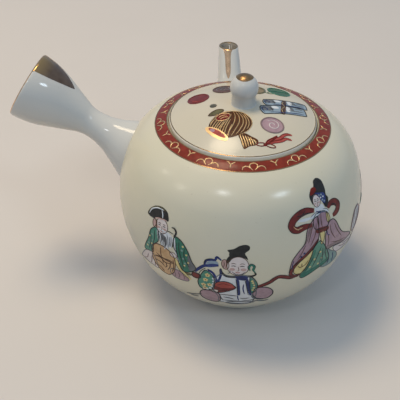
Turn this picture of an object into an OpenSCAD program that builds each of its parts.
// Side-handled porcelain teapot: a cast pot with a luted spout, hollow trumpet handle and
// pierced strainer dome, and a loose lid with a luted knob. Millimetres, +Z up.
// The origin is the centre of the foot on the table, and the spout points along +Y.

/* [Pot] */
// Radius of the pot at its widest line
belly_r = 52.3; // [44:0.1:63]
// Height of the widest line above the table
belly_z = 45.7; // [38:0.1:55]
// Height of the pot's rim above the table
rim_z = 80; // [72:0.1:96]
// Angle above the widest line at which the shoulder's tighter arc begins
shoulder_from = 21.5; // [10:0.5:30]
// Thickness of the pot's wall
wall = 3.2; // [2.4:0.1:4]
// Thickness of the pot's floor
floor_t = 3.4; // [2.4:0.1:5]

/* [Foot ring] */
// Outer radius of the face that stands on the table
foot_r = 29; // [24:0.1:31]
// Width of that face
foot_w = 3.6; // [2.5:0.1:5]
// Height of the ring, up to where the pot's side begins
foot_h = 4.2; // [3:0.1:7]
// Radius of the pot's side just above the ring
foot_top_r = 32.2; // [31:0.1:36]
// Height of the bevel that undercuts the side
foot_bevel = 1.6; // [1:0.1:2.4]
// Depth of the hollow under the floor
foot_hollow = 2.8; // [2:0.1:4]
// Bevel on the ring's two standing edges
foot_ease = 0.6; // [0.3:0.1:1]

/* [Lid seat] */
// Radius of the recess that the lid drops into
seat_r = 30.9; // [28:0.1:37.5]
// Depth of the seat below the rim
seat_depth = 1.8; // [1.2:0.1:3]
// Radius of the throat inside the seat
throat_r = 25.8; // [22:0.1:27]
// Thickness of the ledge that carries the lid
ledge_t = 3.2; // [2.4:0.1:5]
// Width of the ledge's underside, from the throat to the wall
ledge_w = 7.4; // [6:0.1:9]
// Radius of the rounding on the rim
rim_round = 0.7; // [0.4:0.1:1]

/* [Lid] */
// Gap round the lid's edge
lid_gap = 0.4; // [0.3:0.05:0.8]
// Height of the lid's edge above the rim
lid_proud = 1.1; // [0.8:0.1:3]
// Radius of the rounding on the lid's edge
lid_round = 0.7; // [0.5:0.1:1.8]
// Rise of the lid's dome from its edge to its middle
lid_rise = 6.6; // [4:0.1:9]
// Thickness of the lid
lid_t = 2.5; // [2:0.1:3.5]
// Gap between the lid's collar and the throat
collar_gap = 0.6; // [0.4:0.05:1]
// Thickness of the collar
collar_t = 2.4; // [2:0.1:3]
// Depth of the collar below the seat
collar_h = 8; // [5:0.1:12]
// Bevel on the collar's lower edges
collar_ease = 0.6; // [0.3:0.1:0.9]
// Radius of the steam vent
vent_r = 1.5; // [1:0.1:2]
// Distance of the vent from the lid's middle
vent_out = 12.4; // [10:0.1:18]

/* [Knob] */
// Radius of the knob's ball
knob_r = 5.8; // [4.5:0.1:8]
// Height of the ball's centre above the top of the lid
knob_z = 7.1; // [6:0.1:10]
// Radius of the knob's neck
knob_neck_r = 5; // [3.5:0.1:5.4]
// Radius of the hollow flare from the neck onto the lid
knob_flare = 0.6; // [0.4:0.1:3]

/* [Handle] */
// Angle between spout and handle, seen from above
handle_angle = 75; // [65:1:100]
// Height of the handle's root on the pot
handle_root_z = 61; // [50:0.1:66]
// Upward tilt of the handle
handle_tilt = 29.4; // [15:0.1:40]
// Length from the pot's side to the handle's open end
handle_len = 49.9; // [40:0.1:65]
// Outer radius at the open end
handle_end_r = 14.7; // [13:0.1:18]
// Radius of the swelling arc behind the open end
handle_bell_arc = 40.7; // [34:0.1:46]
// Half-angle of the cone between bell and neck
handle_cone = 21.5; // [18:0.1:25]
// Outer radius of the neck
handle_neck_r = 6; // [5.2:0.1:7.2]
// Radius of the arc on the bell's side of the neck
handle_neck_arc = 13; // [9:0.5:20]
// Radius of the arc from the neck to the root
handle_root_arc = 26; // [22:0.1:36]
// Half-angle of the flare where the handle meets the pot
handle_flare = 27; // [23:0.5:30]
// Thickness of the handle's wall
handle_wall = 2.2; // [1.8:0.1:2.8]

/* [Spout] */
// Length from the pot's side to the middle of the mouth
spout_len = 23.8; // [18:0.1:32]
// Height of the mouth's middle above the rim
spout_over_rim = 2; // [0.5:0.1:8]
// Upward tilt of the spout
spout_tilt = 48; // [38:0.5:58]
// Outer radius of the mouth
mouth_r = 4.5; // [4:0.1:6]
// Forward lean of the mouth's cut from the horizontal
mouth_lean = 6; // [0:0.5:15]
// Half-angle of the straight taper
spout_taper = 4; // [2:0.1:7]
// Length of the straight taper below the mouth
spout_straight = 14; // [8:0.1:17]
// Radius of the hollow arc that flares the root
spout_root_arc = 34; // [28:0.1:50]
// Half-angle of the flare where the spout meets the pot
spout_flare = 22; // [15:0.5:26]
// Thickness of the spout's wall
spout_wall = 1.3; // [1.1:0.1:1.8]

/* [Strainer] */
// Outer radius of the dome
dome_r = 12.5; // [11.5:0.1:15]
// Distance of the dome's centre outside the pot's inner wall
dome_back = 4; // [3:0.1:5]
// Thickness of the dome
dome_t = 2; // [1.5:0.1:2.5]
// Radius of one strainer hole
pierce_r = 0.9; // [0.6:0.05:1]
// Angle between the rings of holes
pierce_step = 16; // [15:0.5:18]
// Rings of holes round the middle one
pierce_rings = 3; // [1:1:3]

/* [Hidden] */
$fn = 96;

IVORY = [0.86, 0.83, 0.72];
WHITE = [0.79, 0.82, 0.83];
// Length by which a cut runs past the surface that it opens
over = 6;
// The same for a small hole in a thin wall
over_wall = 0.8;
// Length by which a luted root runs into the pot before it is trimmed to the pot's side
root_sink = 8;
// Steps in one arc of an outline
arc_steps = 10;

// Unit vector at an angle from the first axis of a plane
function dir(a) = [cos(a), sin(a)];
// Points along an arc, from angle a0 to angle a1
function arc(c, r, a0, a1, n = arc_steps) =
    [for (i = [0 : n]) c + r * dir(a0 + (a1 - a0) * i / n)];
// An arc without its first point, to follow another on the same outline
function arc_on(c, r, a0, a1, n = arc_steps) =
    [for (i = [1 : n]) c + r * dir(a0 + (a1 - a0) * i / n)];
// The same list from its last entry to its first
function backwards(list) = [for (i = [len(list) - 1 : -1 : 0]) list[i]];

// The pot's side is two arcs that meet in a tangent. The lower one runs from the foot over the
// widest line, and the shoulder one runs on to the rim.
side_in = belly_r - foot_top_r;
side_up = belly_z - foot_h;
lower_arc = (side_in * side_in + side_up * side_up) / (2 * side_in);
lower_c = [belly_r - lower_arc, belly_z];
join_dir = dir(shoulder_from);
rim_p = [seat_r, rim_z];
rim_from_join = rim_p - lower_c - lower_arc * join_dir;
shoulder_arc = rim_from_join * rim_from_join
    / (2 * (lower_arc - (rim_p - lower_c) * join_dir));
shoulder_c = lower_c + (lower_arc - shoulder_arc) * join_dir;
join_z = lower_c[1] + lower_arc * join_dir[1];
rim_c = [seat_r + rim_round, shoulder_c[1] + sqrt(pow(shoulder_arc - rim_round, 2)
    - pow(seat_r + rim_round - shoulder_c[0], 2))];
rim_angle = atan2(rim_c[1] - shoulder_c[1], rim_c[0] - shoulder_c[0]);

// Radius of the pot's side at a height
function side_r(z) = z > join_z
    ? shoulder_c[0] + sqrt(pow(shoulder_arc, 2) - pow(z - shoulder_c[1], 2))
    : lower_c[0] + sqrt(pow(lower_arc, 2) - pow(z - lower_c[1], 2));

// Inside of the pot
cavity_z = foot_hollow + floor_t;
cavity_a0 = asin((cavity_z - lower_c[1]) / (lower_arc - wall));
ledge_r = throat_r + ledge_w;
cavity_a1 = acos((ledge_r - shoulder_c[0]) / (shoulder_arc - wall));
seat_z = rim_z - seat_depth;

// Lid
lid_r = seat_r - lid_gap;
lid_edge_z = rim_z + lid_proud;
dome_edge_r = lid_r - lid_round;
lid_arc = (dome_edge_r * dome_edge_r + lid_rise * lid_rise) / (2 * lid_rise);
lid_top_z = lid_edge_z + lid_rise;
lid_c = [0, lid_top_z - lid_arc];
lid_edge_angle = acos(dome_edge_r / lid_arc);
collar_r = throat_r - collar_gap;
collar_in = collar_r - collar_t;
collar_angle = acos(collar_in / (lid_arc - lid_t));

// Spout: where its axis crosses the pot's side, and its mouth
mouth_z = rim_z + spout_over_rim;
spout_root_z = mouth_z - spout_len * sin(spout_tilt);
spout_root_r = side_r(spout_root_z);
mouth_out = spout_root_r + spout_len * cos(spout_tilt);
flare_c = [mouth_r + spout_straight * tan(spout_taper) + spout_root_arc * cos(spout_taper),
    spout_straight - spout_root_arc * sin(spout_taper)];
spout_end = spout_len + root_sink;

// A point of the cone that ends the spout's flare, at a distance from the mouth
function flare_end(depth, at) = let (
        arc_end = flare_c + (spout_root_arc + depth) * dir(180 - spout_flare))
    [arc_end[0] + (at - arc_end[1]) * tan(spout_flare), at];
// Outline of the spout's flared root at a depth below its surface, out to its sunk end
function flare_line(depth) = concat(
    arc(flare_c, spout_root_arc + depth, 180 - spout_taper, 180 - spout_flare),
    [flare_end(depth, spout_end)]);
bore_root_r = flare_end(spout_wall, spout_len)[0];

// Strainer: its dome stands on the wall inside the spout's root
root_dir = (spout_root_z > join_z)
    ? ([spout_root_r, spout_root_z] - shoulder_c) / shoulder_arc
    : ([spout_root_r, spout_root_z] - lower_c) / lower_arc;
wall_run = wall / (root_dir * dir(spout_tilt));
dome_c = [spout_root_r, spout_root_z] - wall_run * dir(spout_tilt) + dome_back * root_dir;
dome_lean = atan2(root_dir[1], root_dir[0]);
// Holes in the first ring; each ring further out has as many more
holes_in_ring = 6;
// Sides of the dome and of one hole where they are drawn as facets
dome_sides = 64;
hole_sides = 20;

// Handle: outline along its axis, measured from the open end
bell_len = handle_bell_arc * sin(handle_cone);
bell_drop = handle_bell_arc * (1 - cos(handle_cone));
neck_len = handle_neck_arc * sin(handle_cone);
neck_drop = handle_neck_arc * (1 - cos(handle_cone));
cone_drop = handle_end_r - bell_drop - neck_drop - handle_neck_r;
neck_at = bell_len + cone_drop / tan(handle_cone) + neck_len;
handle_end = handle_len + root_sink;
handle_root_r = side_r(handle_root_z);

// Outline of the pot's side from the foot to the rim, at a depth below its surface
function side_line(depth, a_low, a_top) = concat(
    arc(lower_c, lower_arc - depth, a_low, shoulder_from),
    arc_on(shoulder_c, shoulder_arc - depth, shoulder_from, a_top));
side_a0 = asin((foot_h - lower_c[1]) / lower_arc);

// The pot as a full solid, to trim what is luted to its side
module pot_solid() {
    rotate_extrude()
        polygon(concat([[0, foot_h]], side_line(0, side_a0, rim_angle), [[0, rim_z]]));
}

// The space inside the pot, up to the underside of the ledge
module pot_cavity() {
    rotate_extrude()
        polygon(concat([[0, cavity_z]], side_line(wall, cavity_a0, cavity_a1),
            [[throat_r, seat_z - ledge_t], [0, seat_z - ledge_t]]));
}

// Puts a shape drawn along +Z onto the spout's axis, with its origin at the mouth
module on_spout() {
    translate([0, mouth_out, mouth_z])
        rotate([90 + spout_tilt, 0, 0])
            children();
}

// Puts a shape drawn along +Z onto the handle's axis, with its origin at the open end
module on_handle() {
    rotate([0, 0, 90 + handle_angle])
        translate([handle_root_r, 0, handle_root_z])
            rotate([0, -handle_tilt, 0])
                translate([handle_len, 0, 0])
                    rotate([0, -90, 0])
                        children();
}

// Cast pot: round-bellied shell on a low foot ring, with a sunk seat for the lid in its shoulder
module pot_body() {
    foot_in = foot_r - foot_w;
    round_steps = 5;
    foot = [[foot_in, foot_ease], [foot_in + foot_ease, 0], [foot_r - foot_ease, 0],
        [foot_r, foot_ease], [foot_r, foot_h - foot_bevel]];
    outside = side_line(0, side_a0, rim_angle);
    rim = arc_on(rim_c, rim_round, rim_angle, 180, round_steps);
    mouth = [[seat_r, seat_z], [throat_r, seat_z], [throat_r, seat_z - ledge_t]];
    inside = backwards(side_line(wall, cavity_a0, cavity_a1));
    base = [[0, cavity_z], [0, foot_hollow], [foot_in, foot_hollow]];
    color(IVORY)
        difference() {
            rotate_extrude()
                polygon(concat(foot, outside, rim, mouth, inside, base));
            on_spout()
                translate([0, 0, spout_len - over])
                    cylinder(r = bore_root_r, h = 2 * over + wall);
        }
}

// Spout: a short tapered tube with a flared root and a mouth cut almost level
module spout() {
    tip = [mouth_r - over * tan(spout_taper), -over];
    bore_tip = tip - [spout_wall / cos(spout_taper), 0];
    cut = 2 * over;
    color(WHITE)
        difference() {
            on_spout()
                rotate_extrude()
                    polygon(concat([tip], flare_line(0), backwards(flare_line(spout_wall)), [bore_tip]));
            pot_solid();
            translate([0, mouth_out, mouth_z])
                rotate([-mouth_lean, 0, 0])
                    translate([-cut, -cut, 0])
                        cube([2 * cut, 2 * cut, cut]);
        }
}

// Strainer: a thin dome over the spout's root inside the pot, pierced by rings of small holes
module strainer() {
    bore_from = dome_r - dome_t - over_wall;
    color(WHITE)
        intersection() {
            translate([0, dome_c[0], dome_c[1]])
                rotate([90 + dome_lean, 0, 0])
                    difference() {
                        sphere(r = dome_r, $fn = dome_sides);
                        sphere(r = dome_r - dome_t, $fn = dome_sides);
                        for (ring = [0 : pierce_rings])
                            for (k = [0 : max(1, holes_in_ring * ring) - 1])
                                rotate([0, 0, 360 * k / max(1, holes_in_ring * ring)])
                                    rotate([0, ring * pierce_step, 0])
                                        translate([0, 0, bore_from])
                                            cylinder(r = pierce_r, h = dome_t + 2 * over_wall,
                                                $fn = hole_sides);
                    }
            pot_cavity();
        }
}

// Outline of the handle from its bell to its sunk root, at a depth below its surface
function handle_line(depth) = let (
        bell_steps = 4,
        bell_c = [handle_end_r - handle_bell_arc, 0],
        neck_c = [handle_neck_r + handle_neck_arc, neck_at],
        root_c = [handle_neck_r + handle_root_arc, neck_at],
        arc_end = root_c + (handle_root_arc + depth) * dir(180 - handle_flare))
    concat(
        arc_on(bell_c, handle_bell_arc - depth, 0, handle_cone, bell_steps),
        arc(neck_c, handle_neck_arc + depth, 180 + handle_cone, 180, bell_steps),
        arc_on(root_c, handle_root_arc + depth, 180, 180 - handle_flare),
        [[arc_end[0] + (handle_end - arc_end[1]) * tan(handle_flare), handle_end]]);

// Handle: a hollow trumpet, open at its bell, narrow at its neck and flared onto the pot's side
module side_handle() {
    lip_r = handle_wall / 2;
    lip = arc([handle_end_r - lip_r, 0], lip_r, -180, 0);
    color(WHITE)
        difference() {
            on_handle()
                rotate_extrude()
                    polygon(concat(lip, handle_line(0), backwards(handle_line(handle_wall))));
            pot_solid();
        }
}

// Lid: a shallow dome with a rounded edge that sits in the pot's seat, a collar that keeps it
// in the throat, and a steam vent
module lid() {
    top = arc(lid_c, lid_arc, 90, lid_edge_angle);
    edge_steps = 4;
    edge = arc_on([dome_edge_r, lid_edge_z - lid_round], lid_round, 90, 0, edge_steps);
    collar_z = seat_z - collar_h;
    under = [[lid_r, seat_z], [collar_r, seat_z], [collar_r, collar_z + collar_ease],
        [collar_r - collar_ease, collar_z], [collar_in + collar_ease, collar_z],
        [collar_in, collar_z + collar_ease]];
    hollow = arc(lid_c, lid_arc - lid_t, collar_angle, 90);
    color(IVORY)
        difference() {
            rotate_extrude()
                polygon(concat(top, edge, under, hollow));
            translate([-vent_out, 0, seat_z])
                cylinder(r = vent_r, h = lid_top_z - seat_z + over);
        }
}

// Knob: a ball on a short neck that flares onto the top of the lid
module lid_knob() {
    ball_z = lid_top_z + knob_z;
    neck_top = ball_z - sqrt(knob_r * knob_r - knob_neck_r * knob_neck_r);
    foot_c = [knob_neck_r + knob_flare, lid_top_z + knob_flare];
    ball_a = -acos(knob_neck_r / knob_r);
    color(WHITE)
        difference() {
            rotate_extrude()
                polygon(concat(
                    [[0, lid_top_z - over], [foot_c[0], lid_top_z - over]],
                    arc(foot_c, knob_flare, 270, 180),
                    [[knob_neck_r, neck_top]],
                    arc_on([0, ball_z], knob_r, ball_a, 90)));
            translate([0, 0, lid_c[1]])
                sphere(r = lid_arc);
        }
}

pot_body();
spout();
strainer();
side_handle();
lid();
lid_knob();
